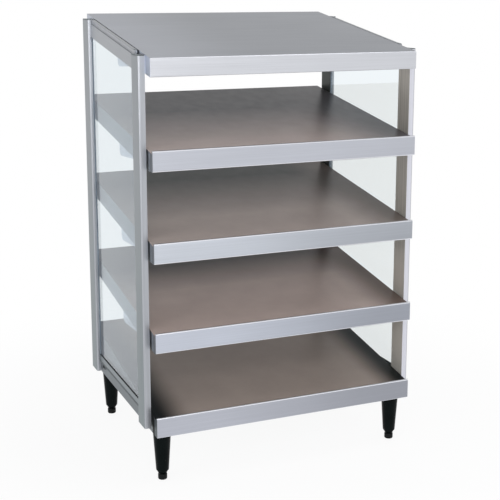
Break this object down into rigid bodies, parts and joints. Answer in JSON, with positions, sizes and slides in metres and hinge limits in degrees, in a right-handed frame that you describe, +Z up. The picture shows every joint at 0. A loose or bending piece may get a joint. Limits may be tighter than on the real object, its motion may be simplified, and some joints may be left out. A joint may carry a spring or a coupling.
{
  "type": "heated display warmer",
  "caption": "Free-standing heated display warmer with slanted shelves under overhead heaters, glass sides, an open front and rear, and adjustable feet.",
  "frame": {"origin": "on the floor under the centre of the bounding box", "axes": "+Z up; the open front with the shelf fronts faces -Y; +X to the viewer's right"},
  "size_m": [0.964, 0.7542, 1.4789],
  "materials": {
    "post_aluminium": "satin anodised extrusion",
    "stainless": "brushed stainless sheet",
    "hardcoat_deck": "dark grey-brown hardcoat, semi-gloss",
    "side_glass": "clear tempered glass",
    "bright_reflector": "bright reflector sheet",
    "element_sheath": "heat-darkened steel sheath",
    "plated_wire": "plated wire",
    "galvanised_sheet": "galvanised sheet",
    "silicone_pad": "moulded silicone",
    "cap_plastic": "black, fine grain",
    "control_plastic": "black, semi-matte",
    "wire_sleeve": "black braided sleeve",
    "leg_plastic": "black, low gloss",
    "foot_plastic": "black"
  },
  "bodies": {
    "cabinet": {"post_front_left": "post_aluminium", "post_cap_front_left": "cap_plastic", "post_front_right": "post_aluminium", "post_cap_front_right": "cap_plastic", "post_rear_left": "post_aluminium", "post_cap_rear_left": "cap_plastic", "post_rear_right": "post_aluminium", "post_cap_rear_right": "cap_plastic", "top_rail_left": "post_aluminium", "bottom_rail_left": "post_aluminium", "glass_side_left": "side_glass", "top_rail_right": "post_aluminium", "bottom_rail_right": "post_aluminium", "glass_side_right": "side_glass", "top_cover": "stainless", "top_pan": "stainless", "shelf_1_tray": "stainless", "shelf_1_deck": "hardcoat_deck", "shelf_1_heating_pad": "silicone_pad", "heater_1_hood": "bright_reflector", "heater_1_element": "element_sheath", "heater_1_guard": "plated_wire", "shelf_2_tray": "stainless", "shelf_2_deck": "hardcoat_deck", "shelf_2_heating_pad": "silicone_pad", "heater_2_hood": "bright_reflector", "heater_2_element": "element_sheath", "heater_2_guard": "plated_wire", "shelf_3_tray": "stainless", "shelf_3_deck": "hardcoat_deck", "shelf_3_heating_pad": "silicone_pad", "heater_3_hood": "bright_reflector", "heater_3_element": "element_sheath", "heater_3_guard": "plated_wire", "base_housing": "stainless", "base_deck": "hardcoat_deck", "base_heating_pad": "silicone_pad", "heater_4_hood": "bright_reflector", "heater_4_element": "element_sheath", "heater_4_guard": "plated_wire", "base_pan": "galvanised_sheet", "supply_gland": "control_plastic", "terminal_block": "control_plastic", "wiring_harness": "wire_sleeve", "leg_front_left": "leg_plastic", "leg_front_right": "leg_plastic", "leg_rear_left": "leg_plastic", "leg_rear_right": "leg_plastic"},
    "leveller_front_left": {"foot_front_left": "foot_plastic"},
    "leveller_front_right": {"foot_front_right": "foot_plastic"},
    "leveller_rear_left": {"foot_rear_left": "foot_plastic"},
    "leveller_rear_right": {"foot_rear_right": "foot_plastic"},
    "shelf_1_thermostat": {"shelf_1_knob": "control_plastic"},
    "shelf_1_rocker": {"shelf_1_switch": "control_plastic"},
    "shelf_2_thermostat": {"shelf_2_knob": "control_plastic"},
    "shelf_2_rocker": {"shelf_2_switch": "control_plastic"},
    "shelf_3_thermostat": {"shelf_3_knob": "control_plastic"},
    "shelf_3_rocker": {"shelf_3_switch": "control_plastic"},
    "base_thermostat": {"base_knob": "control_plastic"},
    "base_rocker": {"base_switch": "control_plastic"}
  },
  "joints": [
    {"name": "foot_front_left_screw", "type": "slide", "parent": "cabinet", "child": "leveller_front_left", "axis": [0, 0, -1], "range_m": [0, 0.025]},
    {"name": "foot_front_right_screw", "type": "slide", "parent": "cabinet", "child": "leveller_front_right", "axis": [0, 0, -1], "range_m": [0, 0.025]},
    {"name": "foot_rear_left_screw", "type": "slide", "parent": "cabinet", "child": "leveller_rear_left", "axis": [0, 0, -1], "range_m": [0, 0.025]},
    {"name": "foot_rear_right_screw", "type": "slide", "parent": "cabinet", "child": "leveller_rear_right", "axis": [0, 0, -1], "range_m": [0, 0.025]},
    {"name": "shelf_1_knob_turn", "type": "hinge", "parent": "cabinet", "child": "shelf_1_thermostat", "pos_m": [-0.307, 0.35685, 1.1661], "axis": [0, -1, 0], "range_deg": [0, 270]},
    {"name": "shelf_1_switch_rock", "type": "hinge", "parent": "cabinet", "child": "shelf_1_rocker", "pos_m": [-0.249, 0.35685, 1.1661], "axis": [-1, 0, 0], "range_deg": [0, 20]},
    {"name": "shelf_2_knob_turn", "type": "hinge", "parent": "cabinet", "child": "shelf_2_thermostat", "pos_m": [-0.307, 0.35685, 0.8791], "axis": [0, -1, 0], "range_deg": [0, 270]},
    {"name": "shelf_2_switch_rock", "type": "hinge", "parent": "cabinet", "child": "shelf_2_rocker", "pos_m": [-0.249, 0.35685, 0.8791], "axis": [-1, 0, 0], "range_deg": [0, 20]},
    {"name": "shelf_3_knob_turn", "type": "hinge", "parent": "cabinet", "child": "shelf_3_thermostat", "pos_m": [-0.307, 0.35685, 0.5921], "axis": [0, -1, 0], "range_deg": [0, 270]},
    {"name": "shelf_3_switch_rock", "type": "hinge", "parent": "cabinet", "child": "shelf_3_rocker", "pos_m": [-0.249, 0.35685, 0.5921], "axis": [-1, 0, 0], "range_deg": [0, 20]},
    {"name": "base_knob_turn", "type": "hinge", "parent": "cabinet", "child": "base_thermostat", "pos_m": [-0.307, 0.35685, 0.3136], "axis": [0, -1, 0], "range_deg": [0, 270]},
    {"name": "base_switch_rock", "type": "hinge", "parent": "cabinet", "child": "base_rocker", "pos_m": [-0.249, 0.35685, 0.3136], "axis": [-1, 0, 0], "range_deg": [0, 20]}
  ]
}
